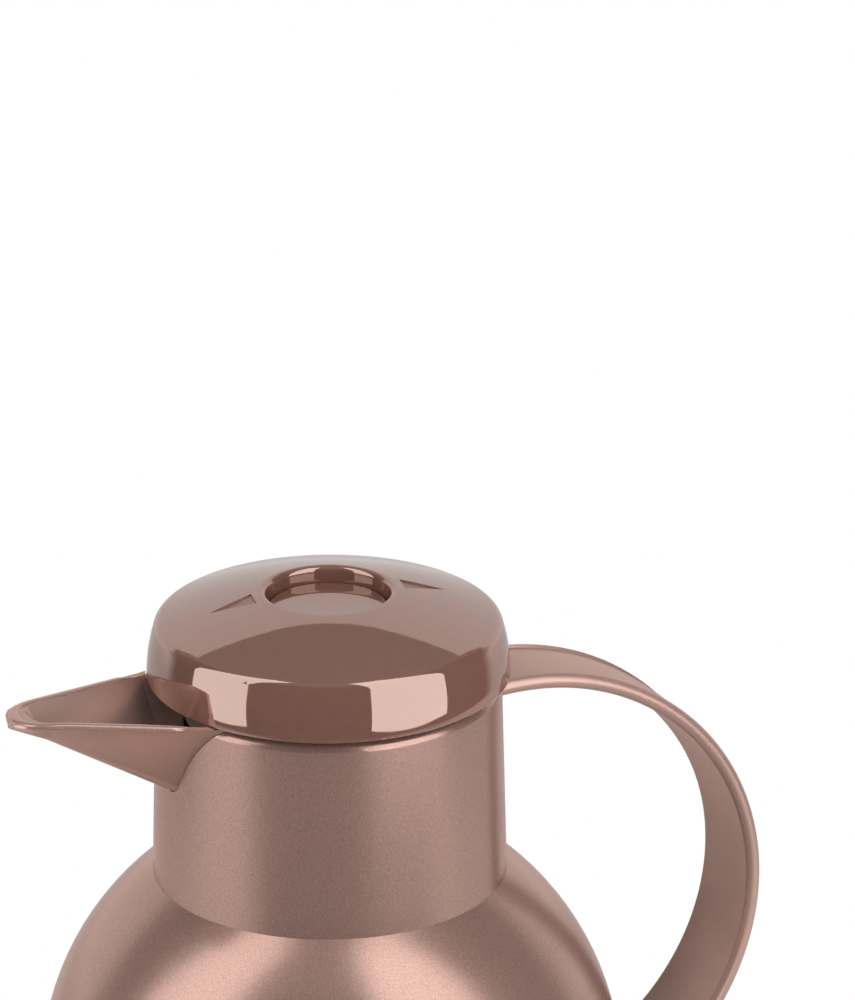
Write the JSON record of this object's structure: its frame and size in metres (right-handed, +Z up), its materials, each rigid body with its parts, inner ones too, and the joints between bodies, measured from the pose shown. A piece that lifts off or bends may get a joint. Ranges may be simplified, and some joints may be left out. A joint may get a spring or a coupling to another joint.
{
  "type": "thermal carafe",
  "caption": "Round-bellied vacuum jug with a beak spout, strap handle and a screw-in closure whose push button opens the pouring valve.",
  "frame": {"origin": "centre of the flat underside that the jug stands on, on the jug's own axis", "axes": "+Z up along the jug's axis, +X towards the handle, -X towards the spout"},
  "size_m": [0.1901, 0.138, 0.2213],
  "materials": {
    "jacket": "satin metallic rose taupe",
    "moulding": "smooth satin rose taupe",
    "lid": "high gloss rose taupe",
    "button": "gloss rose taupe",
    "base": "moulded matt rose taupe",
    "stopper": "moulded dark grey",
    "silicone": "soft pale silicone",
    "rubber": "moulded black rubber",
    "silvered_glass": "silvered glass",
    "steel": "bright steel wire"
  },
  "bodies": {
    "jug": {"belly_shell": "jacket", "neck_sleeve": "jacket", "base_cap": "base", "flask_pad": "rubber", "inner_bottle": "silvered_glass", "outer_bottle": "silvered_glass", "neck_gasket": "silicone", "spout_collar": "moulding", "handle_strap": "moulding", "handle_screw": "steel"},
    "closure_seal": {"stopper_seal": "silicone"},
    "closure": {"lid_cover": "lid", "stopper_body": "stopper", "guide_sleeve": "stopper", "stem_wiper": "silicone", "return_spring": "steel"},
    "plunger": {"push_button": "button", "valve_stem": "stopper", "valve_disc": "stopper", "valve_seal": "silicone", "stem_clip": "steel"},
    "rotor": {"latch_rotor": "stopper"}
  },
  "joints": [
    {"name": "closure_lift", "type": "slide", "parent": "jug", "child": "closure_seal", "axis": [0, 0, 1], "range_m": [0, 0.06]},
    {"name": "closure_turn", "type": "hinge", "parent": "closure_seal", "child": "closure", "pos_m": [0, 0, 0.2], "axis": [0, 0, 1], "range_deg": [0, 180]},
    {"name": "button_press", "type": "slide", "parent": "closure", "child": "plunger", "axis": [0, 0, -1], "range_m": [0, 0.005], "stiffness_N_per_m": 800, "springref_m": -0.004, "deforming": ["return_spring"]},
    {"name": "rotor_turn", "type": "hinge", "parent": "plunger", "child": "rotor", "pos_m": [0, 0, 0.205], "axis": [0, 0, 1], "range_deg": [0, 45]}
  ],
  "couplings": [
    {"joint": "rotor_turn", "follows": "button_press", "rad_per_m": 157}
  ]
}
